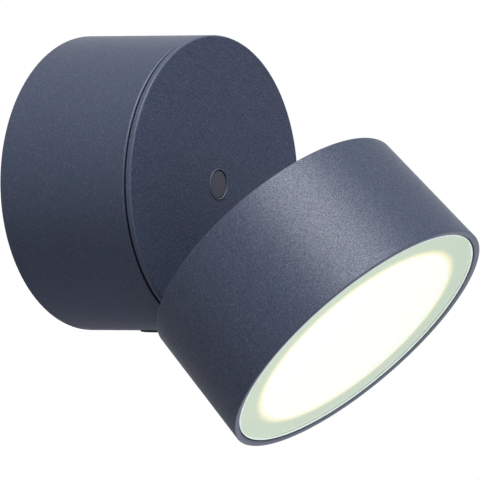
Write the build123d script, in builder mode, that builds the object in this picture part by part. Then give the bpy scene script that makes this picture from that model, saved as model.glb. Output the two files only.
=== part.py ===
from build123d import *
import os
from math import cos, radians, sin, sqrt

# Outdoor wall light: a wall drum, a swivelling front cap and a lamp head on a hinge.
# Millimetres. The origin is the centre of the wall face, +Z is up and the light looks along -Y.

# Fits
fit = 0.05
slip = 0.3

# Wall drum, a tapered casting with a bulkhead inside
base_rear_radius = 52.5
base_front_radius = 50.5
base_depth = 53.0
drum_wall = 2.8
seam_gap = 0.7
edge_round = 0.5
bulkhead_thickness = 3.0
boss_radius = 11.0
boss_height = 3.5
gasket_width = 1.6
gasket_depth = 2.0
lead_hole_radius = 4.0
lead_hole_offset = 31.0

# Swivel cap on the front of the drum
cap_rim = 2.0
cap_plate = 3.0
spigot_length = 6.5
spigot_wall = 3.2
seal_groove_width = 2.2
seal_groove_depth = 1.6
hub_floor = 3.0
plug_radius = 5.15
plug_thickness = 2.0
plug_bevel = 0.3

# Swivel bearing on the drum's axis, with its end stop
bolt_radius = 3.0
bolt_head_radius = 5.0
bolt_head_height = 4.0
bolt_socket_flats = 4.0
thrust_thickness = 1.0
spring_radius = 7.5
spring_thickness = 0.8
spring_height = 1.4
swivel_nut_flats = 10.0
swivel_nut_height = 5.0
thread_end = 1.0
stop_radius = 20.0
stop_pin_radius = 2.0
stop_pin_grip = 1.5
stop_pin_gap = 1.2
stop_lug_width = 2.2
stop_lug_length = 6.0
stop_lug_height = 6.0

# Wall bracket with a hook at the top and a screwed leg at the bottom
bracket_thickness = 2.0
bracket_margin = 1.5
slot_spacing = 60.0
slot_length = 12.0
slot_width = 5.2
leg_width = 16.0
leg_thickness = 2.0
leg_bend = 1.5
leg_end = 6.0
hook_shoulder = 11.0
tongue_width = 8.0
tongue_reach = 6.0
hook_lug_depth = 4.0
hook_lug_wall = 3.0
cable_radius = 5.0
grommet_wall = 3.0
grommet_flange = 3.0
grommet_flange_thickness = 2.0

# Screw that holds the drum on the bracket, from below
fixing_setback = 10.6
fixing_radius = 2.0
fixing_head_radius = 3.1
fixing_dome = 0.7
fixing_nut_flats = 7.0
fixing_nut_height = 3.2

# Pan head screws
small_screw_radius = 1.5
small_head_radius = 2.8
small_head_height = 1.8
large_screw_radius = 2.0
large_head_radius = 3.8
large_head_height = 2.4
screw_grip = 2.4

# LED driver and terminal block behind the bulkhead
driver_width = 46.0
driver_height = 26.0
driver_depth = 20.0
driver_gap = 4.0
driver_corner = 3.0
driver_foot_length = 8.0
driver_foot_height = 12.0
driver_foot_thickness = 2.5
terminal_pitch = 10.0
terminal_poles = 3
terminal_height = 14.0
terminal_depth = 16.0
terminal_drop = 21.0
terminal_well_radius = 2.4
terminal_well_depth = 5.0
terminal_entry_radius = 1.9
terminal_entry_depth = 9.0
terminal_groove = 1.0
terminal_screw_radius = 1.8
terminal_screw_length = 3.0
earth_offset = 31.0

# Hinge between the cap and the lamp head
tilt = 44.0
hinge_forward = 4.75
hinge_edge = 6.25
hinge_clearance = 0.55
pin_radius = 2.5
pin_depth = 2.72
pin_offset = 29.7
pin_head_radius = 4.0
pin_head_height = 2.6
pin_socket_flats = 3.0
hinge_nut_flats = 8.0
hinge_nut_height = 4.0
lug_width = 14.0
lug_pad_width = 26.0
lug_pad_height = 11.0
lug_pad_thickness = 3.0
lug_pad_gap = 0.75
lug_pad_corner = 2.0
lug_screw_spacing = 17.0
friction_thickness = 0.5
ear_thickness = 4.0
ear_root = 7.0
ear_plate_thickness = 2.0
ear_screw_gap = 0.7
ear_plate_above = 14.0
ear_plate_below = 7.0
ear_plate_corner = 3.0
ear_screw_margin = 4.0

# Rubber glands for the leads that cross the hinge
gland_radius = 2.6
gland_bore = 1.6
gland_flange = 1.6
gland_flange_thickness = 1.5
cap_gland_offset = 22.0
cap_gland_drop = 22.0
head_gland_margin = 1.2

# Lamp head, a cup with a recessed back for the hinge and a pocket for the glass
head_rear_radius = 49.9
head_front_radius = 50.9
head_length = 44.3
head_wall = 2.5
recess_depth = 12.0
head_floor = 3.0
lens_radius = 48.5
lens_thickness = 2.0
lens_recess = 0.4
lens_gap = 0.4
lens_bevel = 0.4
lens_ledge = 2.3
lens_gasket_thickness = 1.0
lens_gasket_lip = 2.0
lens_gasket_setback = 0.3

# Light source
thermal_pad_thickness = 0.5
board_radius = 36.0
board_thickness = 1.6
board_screw_margin = 3.0
board_screws = 3
chip_size = 3.0
chip_height = 0.8
inner_ring_radius = 10.0
inner_ring_chips = 8
outer_ring_radius = 22.0
outer_ring_chips = 16
reflector_foot = 27.0
reflector_mouth = 40.0
reflector_wall = 1.5
reflector_flange = 1.4
diffuser_lip = 1.5
diffuser_thickness = 2.0

# Levels along the drum's axis, measured from the wall
cap_back = base_depth - cap_rim
drum_front = cap_back - seam_gap
plate_back = base_depth - cap_plate
spigot_back = cap_back - spigot_length
head_seat = base_depth - plug_thickness - bolt_head_height - slip
hub_back = head_seat - hub_floor
boss_front = hub_back - thrust_thickness
bulkhead_front = boss_front - boss_height
bulkhead_back = bulkhead_front - bulkhead_thickness
spring_back = bulkhead_back - spring_height
swivel_nut_back = spring_back - swivel_nut_height
fixing_distance = bulkhead_back - fixing_setback
leg_length = fixing_distance + leg_end
hook_length = hook_shoulder + tongue_reach


def drum_radius(distance):
    """Outer radius of the tapered drum at a distance from the wall."""
    return base_rear_radius - (base_rear_radius - base_front_radius) * distance / base_depth


def head_radius(distance):
    """Outer radius of the tapered lamp head at a distance from its rear rim."""
    return head_rear_radius + (head_front_radius - head_rear_radius) * distance / head_length


# Radii that fit each other
bolt_bore = bolt_radius + fit
spigot_bore = drum_radius(drum_front) - drum_wall
spigot_radius = spigot_bore - slip
spigot_inner = spigot_radius - spigot_wall
seal_groove_radius = spigot_radius - seal_groove_depth
gasket_inner = drum_radius(gasket_depth) - drum_wall
gasket_outer = gasket_inner + gasket_width
bracket_radius = base_rear_radius - drum_wall - bracket_margin
leg_corner = min(bracket_radius, drum_radius(leg_length) - drum_wall - slip)
leg_outer = sqrt(leg_corner ** 2 - (leg_width / 2) ** 2)
leg_inner = leg_outer - leg_thickness
leg_middle = leg_outer - leg_thickness / 2
grommet_hole = cable_radius + grommet_wall
pocket_radius = lens_radius + lens_gap
chamber_radius = lens_radius - lens_ledge
diffuser_radius = reflector_mouth + diffuser_lip

# Hinge places: the pin runs along X, below the drum's axis and just in front of the cap
hinge_drop = base_front_radius - hinge_edge
ear_radius = hinge_forward - hinge_clearance
ear_inner = lug_width / 2 + friction_thickness
ear_outer = ear_inner + ear_thickness
lug_pad_bottom = hinge_drop - ear_radius - lug_pad_gap
lug_pad_middle = lug_pad_bottom - lug_pad_height / 2

# Levels along the lamp head's axis, measured from its rear rim
floor_front = recess_depth + head_floor
ear_plate_back = recess_depth - ear_plate_thickness
board_back = floor_front + thermal_pad_thickness
board_front = board_back + board_thickness
lens_face = head_length - lens_recess
lens_back = lens_face - lens_thickness
ledge = lens_back - lens_gasket_thickness
diffuser_back = ledge - diffuser_thickness
board_screw_radius = board_radius - board_screw_margin
head_gland_radius = chamber_radius - gland_radius - gland_flange - head_gland_margin

# Planes of the drum and cap: wall has X right, Y up and Z forward, away from the wall
base_axis = Axis((0, 0, 0), (0, -1, 0))
wall = Plane(origin=(0, 0, 0), x_dir=(1, 0, 0), z_dir=(0, -1, 0))
base_section = Plane(origin=(0, 0, 0), x_dir=(1, 0, 0), z_dir=(0, 0, -1))
base_side = Plane(origin=(0, 0, 0), x_dir=(0, -1, 0), z_dir=(-1, 0, 0))

# Planes of the lamp head, which hangs from the hinge pin at the tilt angle
lean = radians(tilt)
rear_forward = hinge_forward - pin_depth * cos(lean) + pin_offset * sin(lean)
rear_drop = hinge_drop - pin_depth * sin(lean) - pin_offset * cos(lean)
head_rear = (0, -(base_depth + rear_forward), -rear_drop)
head_direction = (0, -cos(lean), -sin(lean))
head_axis = Axis(head_rear, head_direction)
head = Plane(origin=head_rear, x_dir=(1, 0, 0), z_dir=head_direction)
head_section = Plane(origin=head_rear, x_dir=(1, 0, 0), z_dir=-head.y_dir)
head_side = Plane(origin=head_rear, x_dir=head_direction, z_dir=(-1, 0, 0))
pin_plane = Plane(origin=(0, -(base_depth + hinge_forward), -hinge_drop), x_dir=(0, 1, 0), z_dir=(1, 0, 0))


def placed(plane, across, up, forward=0.0, flip=False):
    """A plane parallel to the given one, at a point of its own coordinates, facing back if flipped."""
    facing = -plane.z_dir if flip else plane.z_dir
    return Plane(origin=plane.from_local_coords((across, up, forward)), x_dir=plane.x_dir, z_dir=facing)


def turned_section(plane):
    """The plane of a profile that turns about the given plane's normal: X is radius, Y is height."""
    return Plane(origin=plane.origin, x_dir=plane.x_dir, z_dir=-plane.y_dir)


def finish(piece, label):
    """Label one finished piece and write its file."""
    piece.label = label
    export_step(piece, f"parts/{label}.step")


def group(pieces):
    """Several like solids as one piece."""
    return Compound(children=list(pieces))


def pan_screw(seat, radius, head_radius, head_height, length):
    """A pan head screw: its head stands on the seat plane and its shank goes in behind it."""
    with BuildPart() as screw:
        with BuildSketch(turned_section(seat)):
            with BuildLine():
                Line((0, head_height), (0, -length))
                Polyline((0, -length), (radius, -length), (radius, 0), (head_radius, 0))
                TangentArc((0, head_height), (head_radius, 0), tangent=(1, 0))
            make_face()
        revolve(axis=Axis(seat.origin, seat.z_dir))
        with BuildSketch(seat.offset(head_height)):
            RegularPolygon(radius, 6)
        extrude(amount=-head_height / 2, mode=Mode.SUBTRACT)
    return screw.part


def hex_nut(seat, flats, height, bore):
    """A hexagon nut standing on the seat plane."""
    with BuildPart() as nut:
        with BuildSketch(seat):
            RegularPolygon(flats / 2, 6, major_radius=False)
            Circle(bore, mode=Mode.SUBTRACT)
        extrude(amount=height)
    return nut.part


def ring(seat, inner, outer, height):
    """A flat ring standing on the seat plane."""
    with BuildPart() as washer:
        with BuildSketch(seat):
            Circle(outer)
            Circle(inner, mode=Mode.SUBTRACT)
        extrude(amount=height)
    return washer.part


def lead_gland(face, thickness):
    """A rubber gland in a plate: flanges on the face and behind it, with a bore for one lead."""
    neck = gland_radius - fit
    flange = gland_radius + gland_flange
    back = -thickness - gland_flange_thickness
    with BuildPart() as gland:
        with BuildSketch(turned_section(face)):
            with BuildLine():
                Polyline(
                    (gland_bore, back),
                    (flange, back),
                    (flange, -thickness),
                    (neck, -thickness),
                    (neck, 0),
                    (flange, 0),
                    (neck, gland_flange_thickness),
                    (gland_bore, gland_flange_thickness),
                    close=True,
                )
            make_face()
        revolve(axis=Axis(face.origin, face.z_dir))
    return gland.part


os.makedirs("parts", exist_ok=True)

# Screw seats that the pieces on both sides of a joint share
driver_rise = spring_radius + driver_gap + driver_height / 2
driver_screw_x = driver_width / 2 + driver_foot_length / 2
driver_screw_spots = [(-driver_screw_x, driver_rise), (driver_screw_x, driver_rise)]
earth_spot = (-earth_offset, 0)
lug_screw_spots = [(-lug_screw_spacing / 2, -lug_pad_middle), (lug_screw_spacing / 2, -lug_pad_middle)]
cap_gland_spot = (cap_gland_offset, -cap_gland_drop)
ear_plate_top = ear_plate_above - pin_offset
ear_plate_foot = -ear_plate_below - pin_offset
ear_screw_x = ear_outer + ear_screw_gap + small_head_radius
ear_plate_width = 2 * (ear_screw_x + ear_screw_margin)
ear_screw_spots = [
    (side * ear_screw_x, height)
    for side in (-1, 1)
    for height in (ear_plate_foot + ear_screw_margin, ear_plate_top - ear_screw_margin)
]
board_screw_angles = [90 + 360 * step / board_screws for step in range(board_screws)]
board_screw_spots = [
    (board_screw_radius * cos(radians(angle)), board_screw_radius * sin(radians(angle)))
    for angle in board_screw_angles
]
head_gland_spot = (head_gland_radius * cos(radians(45)), head_gland_radius * sin(radians(45)))

# Wall drum: tapered shell, bulkhead and swivel boss in one turned profile
with BuildPart() as base_drum:
    with BuildSketch(base_section):
        with BuildLine():
            Polyline(
                (bolt_bore, bulkhead_back),
                (drum_radius(bulkhead_back) - drum_wall, bulkhead_back),
                (gasket_inner, gasket_depth),
                (gasket_outer, gasket_depth),
                (gasket_outer, 0),
                (base_rear_radius, 0),
                (drum_radius(drum_front), drum_front),
                (spigot_bore, drum_front),
                (spigot_bore, bulkhead_front),
                (boss_radius, bulkhead_front),
                (boss_radius, boss_front),
                (bolt_bore, boss_front),
                close=True,
            )
        make_face()
    revolve(axis=base_axis)
    front_edges = base_drum.edges().filter_by(GeomType.CIRCLE).group_by(Axis.Y)[0]
    fillet(front_edges.sort_by(SortBy.RADIUS)[-1], edge_round)
    # End stop for the swivel, at the bottom
    with BuildSketch(wall.offset(bulkhead_front)):
        with Locations((0, -stop_radius)):
            Rectangle(stop_lug_width, stop_lug_length)
    extrude(amount=stop_lug_height)
    # Slotted lug that the bracket's tongue hooks into, at the top
    with BuildSketch(wall.offset(hook_shoulder + slip)):
        Circle(drum_radius(hook_length) - drum_wall / 2)
        with Locations((0, leg_inner - hook_lug_wall)):
            Rectangle(
                tongue_width + 2 * hook_lug_wall,
                base_rear_radius,
                align=(Align.CENTER, Align.MIN),
                mode=Mode.INTERSECT,
            )
        with Locations((0, leg_middle)):
            Rectangle(tongue_width + 2 * slip, leg_thickness + 2 * slip, mode=Mode.SUBTRACT)
    extrude(amount=hook_lug_depth)
    # Holes in the bulkhead for the leads and for the screws that go in from behind
    with BuildSketch(wall.offset(bulkhead_back)):
        with Locations((lead_hole_offset, 0)):
            Circle(lead_hole_radius)
        with Locations(*driver_screw_spots):
            Circle(small_screw_radius + fit)
        with Locations(earth_spot):
            Circle(large_screw_radius + fit)
    extrude(amount=bulkhead_thickness, mode=Mode.SUBTRACT)
    # Countersunk hole for the fixing screw, at the bottom
    fixing_seat = Plane(
        origin=(0, -fixing_distance, -drum_radius(fixing_distance)), x_dir=(1, 0, 0), z_dir=(0, 0, -1)
    )
    with Locations(fixing_seat):
        CounterSinkHole(fixing_radius + fit, fixing_head_radius + fit, 2 * drum_wall, 90)
finish(base_drum.part, "base_drum")

# Foam seal that closes the drum against the wall
with BuildPart() as wall_gasket:
    with BuildSketch(wall):
        Circle(gasket_outer - fit)
        Circle(gasket_inner, mode=Mode.SUBTRACT)
    extrude(amount=gasket_depth)
finish(wall_gasket.part, "wall_gasket")

# Wall bracket: a flat-sided disc with two bent legs
with BuildPart() as wall_bracket:
    with BuildSketch(wall):
        Circle(bracket_radius)
        Rectangle(2 * bracket_radius, 2 * leg_outer, mode=Mode.INTERSECT)
        Circle(grommet_hole, mode=Mode.SUBTRACT)
        with GridLocations(slot_spacing, 0, 2, 1):
            SlotOverall(slot_length, slot_width, mode=Mode.SUBTRACT)
    extrude(amount=bracket_thickness)
    with BuildSketch(wall):
        with Locations((0, -leg_middle)):
            Rectangle(leg_width, leg_thickness)
    extrude(amount=leg_length)
    with BuildSketch(wall):
        with Locations((0, leg_middle)):
            Rectangle(leg_width, leg_thickness)
    extrude(amount=hook_shoulder)
    with BuildSketch(wall):
        with Locations((0, leg_middle)):
            Rectangle(tongue_width, leg_thickness)
    extrude(amount=hook_length)
    front_lines = wall_bracket.edges().filter_by(Axis.X).filter_by(
        lambda edge: abs(edge.center().Y + bracket_thickness) < fit and abs(edge.center().Z) > leg_inner - fit
    )
    fillet(front_lines.filter_by(lambda edge: abs(edge.center().Z) < leg_inner + fit), leg_bend)
    with Locations(Plane(origin=(0, -fixing_distance, -leg_outer), x_dir=(1, 0, 0), z_dir=(0, 0, -1))):
        Hole(fixing_radius + fit, leg_thickness + fit)
finish(wall_bracket.part, "wall_bracket")

# Rubber bush that the supply cable comes through
with BuildPart() as cable_grommet:
    with BuildSketch(base_section):
        with BuildLine():
            Polyline(
                (cable_radius, 0),
                (grommet_hole - fit, 0),
                (grommet_hole - fit, bracket_thickness),
                (grommet_hole + grommet_flange, bracket_thickness),
                (grommet_hole, bracket_thickness + grommet_flange_thickness),
                (cable_radius, bracket_thickness + grommet_flange_thickness),
                close=True,
            )
        make_face()
    revolve(axis=base_axis)
finish(cable_grommet.part, "cable_grommet")

# Raised countersunk screw up through the drum into the bracket's leg
fixing_reach = drum_radius(fixing_distance) - leg_inner + fixing_nut_height
fixing_cone = fixing_head_radius - fixing_radius
with BuildPart() as drum_fixing_screw:
    with BuildSketch(turned_section(fixing_seat)):
        with BuildLine():
            TangentArc((0, fixing_dome), (fixing_head_radius, 0), tangent=(1, 0))
            Polyline(
                (fixing_head_radius, 0),
                (fixing_radius, -fixing_cone),
                (fixing_radius, -fixing_reach),
                (0, -fixing_reach),
                (0, fixing_dome),
            )
        make_face()
    revolve(axis=Axis(fixing_seat.origin, fixing_seat.z_dir))
finish(drum_fixing_screw.part, "drum_fixing_screw")

# Nut on the leg's inner face
nut_seat = Plane(origin=(0, -fixing_distance, -leg_inner), x_dir=(1, 0, 0), z_dir=(0, 0, 1))
finish(hex_nut(nut_seat, fixing_nut_flats, fixing_nut_height, fixing_radius + fit), "fixing_nut")

# LED driver: a potted case with a screwed foot at each end
with BuildPart() as led_driver:
    with BuildSketch(wall.offset(bulkhead_back)):
        with Locations((0, driver_rise)):
            RectangleRounded(driver_width, driver_height, driver_corner)
    extrude(amount=-driver_depth)
    fillet(led_driver.faces().sort_by(Axis.Y)[-1].edges(), edge_round)
    with BuildSketch(wall.offset(bulkhead_back)):
        with Locations((0, driver_rise)):
            Rectangle(driver_width + 2 * driver_foot_length, driver_foot_height)
        with Locations(*driver_screw_spots):
            Circle(small_screw_radius + fit, mode=Mode.SUBTRACT)
    extrude(amount=-driver_foot_thickness)
finish(led_driver.part, "led_driver")

driver_screw_seats = [
    placed(wall, *spot, bulkhead_back - driver_foot_thickness, flip=True) for spot in driver_screw_spots
]
driver_screws = [
    pan_screw(seat, small_screw_radius, small_head_radius, small_head_height, driver_foot_thickness + screw_grip)
    for seat in driver_screw_seats
]
finish(group(driver_screws), "driver_screws")

# Terminal block: one well and one cable entry for each pole, with grooves between the poles
terminal_width = terminal_pitch * terminal_poles
terminal_back = bulkhead_back - terminal_depth
with BuildPart() as terminal_block:
    with BuildSketch(wall.offset(terminal_back)):
        with Locations((0, -terminal_drop)):
            Rectangle(terminal_width, terminal_height)
            with GridLocations(terminal_pitch, 0, terminal_poles + 1, 1):
                Rectangle(terminal_groove, terminal_height, mode=Mode.SUBTRACT)
    extrude(amount=terminal_depth - terminal_groove)
    with BuildSketch(wall.offset(bulkhead_back - terminal_groove)):
        with Locations((0, -terminal_drop)):
            Rectangle(terminal_width - terminal_groove, terminal_height)
    extrude(amount=terminal_groove)
    with BuildSketch(wall.offset(terminal_back)):
        with Locations((0, -terminal_drop)):
            with GridLocations(terminal_pitch, 0, terminal_poles, 1):
                Circle(terminal_well_radius)
    extrude(amount=terminal_well_depth, mode=Mode.SUBTRACT)
    entry_distance = terminal_back + terminal_depth / 2
    entry_face = Plane(
        origin=(0, -entry_distance, -terminal_drop - terminal_height / 2), x_dir=(1, 0, 0), z_dir=(0, 0, -1)
    )
    with BuildSketch(entry_face):
        with GridLocations(terminal_pitch, 0, terminal_poles, 1):
            Circle(terminal_entry_radius)
    extrude(amount=-terminal_entry_depth, mode=Mode.SUBTRACT)
finish(terminal_block.part, "terminal_block")

# Clamping screws at the bottom of the wells
terminal_screws = []
for pole in range(terminal_poles):
    across = (pole - (terminal_poles - 1) / 2) * terminal_pitch
    seat = placed(wall, across, -terminal_drop, terminal_back + terminal_well_depth - terminal_screw_length)
    with BuildPart() as terminal_screw:
        with BuildSketch(seat):
            Circle(terminal_screw_radius)
        extrude(amount=terminal_screw_length)
        with BuildSketch(seat):
            Rectangle(2 * terminal_screw_radius, terminal_screw_radius / 3)
        extrude(amount=terminal_screw_length / 3, mode=Mode.SUBTRACT)
    terminal_screws.append(terminal_screw.part)
finish(group(terminal_screws), "terminal_screws")

# Earth screw in the bulkhead
earth_seat = placed(wall, *earth_spot, bulkhead_back, flip=True)
earth_screw = pan_screw(earth_seat, large_screw_radius, large_head_radius, large_head_height, screw_grip)
finish(earth_screw, "earth_screw")

# Swivel bolt: its head sits in the cap's hub, under the plug
with BuildPart() as swivel_bolt:
    with BuildSketch(wall.offset(head_seat)):
        Circle(bolt_head_radius)
    extrude(amount=bolt_head_height)
    with BuildSketch(wall.offset(head_seat)):
        Circle(bolt_radius)
    extrude(amount=-(head_seat - swivel_nut_back + thread_end))
    with BuildSketch(wall.offset(head_seat + bolt_head_height)):
        RegularPolygon(bolt_socket_flats / 2, 6, major_radius=False)
    extrude(amount=-bolt_head_height / 2, mode=Mode.SUBTRACT)
finish(swivel_bolt.part, "swivel_bolt")

finish(ring(wall.offset(boss_front), bolt_bore, boss_radius, thrust_thickness), "thrust_washer")

# Disc spring that loads the swivel, so that it holds where it is put
with BuildPart() as disc_spring:
    with BuildSketch(base_section):
        with BuildLine():
            Polyline(
                (bolt_bore, spring_back),
                (bolt_bore, spring_back + spring_thickness),
                (spring_radius, bulkhead_back),
                (spring_radius, bulkhead_back - spring_thickness),
                close=True,
            )
        make_face()
    revolve(axis=base_axis)
finish(disc_spring.part, "disc_spring")

swivel_nut_seat = placed(wall, 0, 0, swivel_nut_back)
finish(hex_nut(swivel_nut_seat, swivel_nut_flats, swivel_nut_height, bolt_bore), "swivel_nut")

# Swivel cap: face, visible rim, spigot with its seal groove, and hub in one turned profile
groove_front = spigot_back + (spigot_length + seal_groove_width) / 2
groove_back = groove_front - seal_groove_width
with BuildPart() as swivel_cap:
    with BuildSketch(base_section):
        with BuildLine():
            Polyline(
                (plug_radius + fit, base_depth),
                (base_front_radius, base_depth),
                (drum_radius(cap_back), cap_back),
                (spigot_radius, cap_back),
                (spigot_radius, groove_front),
                (seal_groove_radius, groove_front),
                (seal_groove_radius, groove_back),
                (spigot_radius, groove_back),
                (spigot_radius, spigot_back),
                (spigot_inner, spigot_back),
                (spigot_inner, plate_back),
                (boss_radius, plate_back),
                (boss_radius, hub_back),
                (bolt_bore, hub_back),
                (bolt_bore, head_seat),
                (plug_radius + fit, head_seat),
                close=True,
            )
        make_face()
    revolve(axis=base_axis)
    rim_edges = swivel_cap.edges().filter_by(GeomType.CIRCLE).sort_by(SortBy.RADIUS)[-2:]
    fillet(rim_edges, edge_round)
    with BuildSketch(wall.offset(plate_back)):
        with Locations(*lug_screw_spots):
            Circle(large_screw_radius + fit)
        with Locations(cap_gland_spot):
            Circle(gland_radius)
    extrude(amount=cap_plate, mode=Mode.SUBTRACT)
    with BuildSketch(wall.offset(plate_back)):
        with Locations((0, stop_radius)):
            Circle(stop_pin_radius + fit)
    extrude(amount=stop_pin_grip, mode=Mode.SUBTRACT)
finish(swivel_cap.part, "swivel_cap")

# Seal ring in the spigot's groove, just clear of the drum's bore
seal_section = (seal_groove_depth + slip) / 2 - fit
with BuildPart() as cap_seal_ring:
    with BuildSketch(base_section):
        with Locations((seal_groove_radius + seal_section + fit, (groove_front + groove_back) / 2)):
            Circle(seal_section)
    revolve(axis=base_axis)
finish(cap_seal_ring.part, "cap_seal_ring")

# Plug over the swivel bolt, flush with the cap's face
with BuildPart() as centre_plug:
    with BuildSketch(wall.offset(base_depth)):
        Circle(plug_radius)
    extrude(amount=-plug_thickness)
    chamfer(centre_plug.faces().sort_by(Axis.Y)[0].edges(), plug_bevel)
finish(centre_plug.part, "centre_plug")

stop_pin_end = bulkhead_front + stop_pin_gap
with BuildPart() as swivel_stop_pin:
    with BuildSketch(wall.offset(stop_pin_end)):
        with Locations((0, stop_radius)):
            Circle(stop_pin_radius)
    extrude(amount=plate_back + stop_pin_grip - stop_pin_end)
finish(swivel_stop_pin.part, "swivel_stop_pin")

# Hinge lug: a screwed pad and a round knuckle on the cap's face
knuckle_front = base_depth + hinge_forward
with BuildPart() as hinge_lug:
    with BuildSketch(wall.offset(base_depth)):
        with Locations((0, -lug_pad_middle)):
            RectangleRounded(lug_pad_width, lug_pad_height, lug_pad_corner)
    extrude(amount=lug_pad_thickness)
    with BuildSketch(base_side):
        with BuildLine():
            Polyline(
                (base_depth, -hinge_drop - ear_radius),
                (knuckle_front, -hinge_drop - ear_radius),
                (knuckle_front, -hinge_drop + ear_radius),
                (base_depth + lug_pad_thickness, -lug_pad_middle),
                (base_depth, -lug_pad_middle),
                close=True,
            )
        make_face()
        with Locations((knuckle_front, -hinge_drop)):
            Circle(ear_radius)
    extrude(amount=lug_width / 2, both=True)
    with BuildSketch(pin_plane):
        Circle(pin_radius + fit)
    extrude(amount=lug_width, both=True, mode=Mode.SUBTRACT)
    with BuildSketch(wall.offset(base_depth)):
        with Locations(*lug_screw_spots):
            Circle(large_screw_radius + fit)
    extrude(amount=lug_pad_thickness, mode=Mode.SUBTRACT)
finish(hinge_lug.part, "hinge_lug")

lug_screw_seats = [placed(wall, *spot, plate_back, flip=True) for spot in lug_screw_spots]
lug_screws = [
    pan_screw(seat, large_screw_radius, large_head_radius, large_head_height, cap_plate + screw_grip)
    for seat in lug_screw_seats
]
finish(group(lug_screws), "hinge_lug_screws")

finish(lead_gland(placed(wall, *cap_gland_spot, base_depth), cap_plate), "cap_gland")

# Lamp head: skirt round the hinge, floor that carries the light source, ledge and pocket for the glass
with BuildPart() as head_housing:
    with BuildSketch(head_section):
        with BuildLine():
            Polyline(
                (0, recess_depth),
                (head_radius(recess_depth) - head_wall, recess_depth),
                (head_rear_radius - head_wall, 0),
                (head_rear_radius, 0),
                (head_front_radius, head_length),
                (pocket_radius, head_length),
                (pocket_radius, ledge),
                (chamber_radius, ledge),
                (chamber_radius, floor_front),
                (0, floor_front),
                close=True,
            )
        make_face()
    revolve(axis=head_axis)
    outer_edges = head_housing.edges().filter_by(GeomType.CIRCLE).sort_by(SortBy.RADIUS)
    fillet([outer_edges[-1], outer_edges.filter_by(lambda e: abs(e.radius - head_rear_radius) < fit)[0]], edge_round)
    with BuildSketch(head.offset(recess_depth)):
        with Locations(*ear_screw_spots):
            Circle(small_screw_radius + fit)
    extrude(amount=screw_grip + slip, mode=Mode.SUBTRACT)
    with BuildSketch(head.offset(floor_front)):
        with Locations(*board_screw_spots):
            Circle(small_screw_radius + fit)
    extrude(amount=-screw_grip - slip, mode=Mode.SUBTRACT)
    with BuildSketch(head.offset(recess_depth)):
        with Locations(head_gland_spot):
            Circle(gland_radius)
    extrude(amount=head_floor, mode=Mode.SUBTRACT)
finish(head_housing.part, "head_housing")

# Hinge bracket: a plate on the head's floor with an ear on each side of the lug
with BuildPart() as hinge_bracket:
    with BuildSketch(head.offset(ear_plate_back)):
        with Locations((0, (ear_plate_top + ear_plate_foot) / 2)):
            RectangleRounded(ear_plate_width, ear_plate_top - ear_plate_foot, ear_plate_corner)
        with Locations(*ear_screw_spots):
            Circle(small_screw_radius + fit, mode=Mode.SUBTRACT)
    extrude(amount=ear_plate_thickness)
    for side in (-1, 1):
        with BuildSketch(head_side.offset(side * ear_inner)):
            with BuildLine():
                Polyline(
                    (pin_depth, ear_radius - pin_offset),
                    (ear_plate_back, ear_root - pin_offset),
                    (ear_plate_back, -ear_root - pin_offset),
                    (pin_depth, -ear_radius - pin_offset),
                    close=True,
                )
            make_face()
            with Locations((pin_depth, -pin_offset)):
                Circle(ear_radius)
                Circle(pin_radius + fit, mode=Mode.SUBTRACT)
        extrude(amount=side * ear_thickness)
finish(hinge_bracket.part, "hinge_bracket")

ear_screw_seats = [placed(head, *spot, ear_plate_back, flip=True) for spot in ear_screw_spots]
ear_screws = [
    pan_screw(seat, small_screw_radius, small_head_radius, small_head_height, ear_plate_thickness + screw_grip)
    for seat in ear_screw_seats
]
finish(group(ear_screws), "hinge_bracket_screws")

# Hinge pin with its nut, and the friction washers that hold the head's tilt
with BuildPart() as hinge_pin:
    with BuildSketch(pin_plane.offset(-ear_outer)):
        Circle(pin_head_radius)
    extrude(amount=-pin_head_height)
    with BuildSketch(pin_plane.offset(-ear_outer - pin_head_height)):
        RegularPolygon(pin_socket_flats / 2, 6, major_radius=False)
    extrude(amount=pin_head_height / 2, mode=Mode.SUBTRACT)
    with BuildSketch(pin_plane.offset(-ear_outer)):
        Circle(pin_radius)
    extrude(amount=2 * ear_outer + hinge_nut_height + thread_end)
finish(hinge_pin.part, "hinge_pin")
finish(hex_nut(pin_plane.offset(ear_outer), hinge_nut_flats, hinge_nut_height, pin_radius + fit), "hinge_nut")

friction_washers = [
    ring(pin_plane.offset(start), pin_radius + fit, ear_radius, friction_thickness)
    for start in (-ear_inner, lug_width / 2)
]
finish(group(friction_washers), "friction_washers")

finish(lead_gland(placed(head, *head_gland_spot, recess_depth, flip=True), head_floor), "head_gland")

# Light source: heat pad, board with its chips, reflector and opal diffuser
with BuildPart() as thermal_pad:
    with BuildSketch(head.offset(floor_front)):
        Circle(board_radius)
        with Locations(*board_screw_spots):
            Circle(small_screw_radius + fit, mode=Mode.SUBTRACT)
    extrude(amount=thermal_pad_thickness)
finish(thermal_pad.part, "thermal_pad")

with BuildPart() as led_board:
    with BuildSketch(head.offset(board_back)):
        Circle(board_radius)
        with Locations(*board_screw_spots):
            Circle(small_screw_radius + fit, mode=Mode.SUBTRACT)
    extrude(amount=board_thickness)
finish(led_board.part, "led_board")

with BuildPart() as led_chips:
    with BuildSketch(head.offset(board_front)):
        with PolarLocations(inner_ring_radius, inner_ring_chips):
            Rectangle(chip_size, chip_size)
        with PolarLocations(outer_ring_radius, outer_ring_chips):
            Rectangle(chip_size, chip_size)
    extrude(amount=chip_height)
finish(led_chips.part, "led_chips")

board_grip = board_thickness + thermal_pad_thickness + screw_grip
board_screw_seats = [placed(head, *spot, board_front) for spot in board_screw_spots]
led_board_screws = [
    pan_screw(seat, small_screw_radius, small_head_radius, small_head_height, board_grip)
    for seat in board_screw_seats
]
finish(group(led_board_screws), "led_board_screws")

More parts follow.
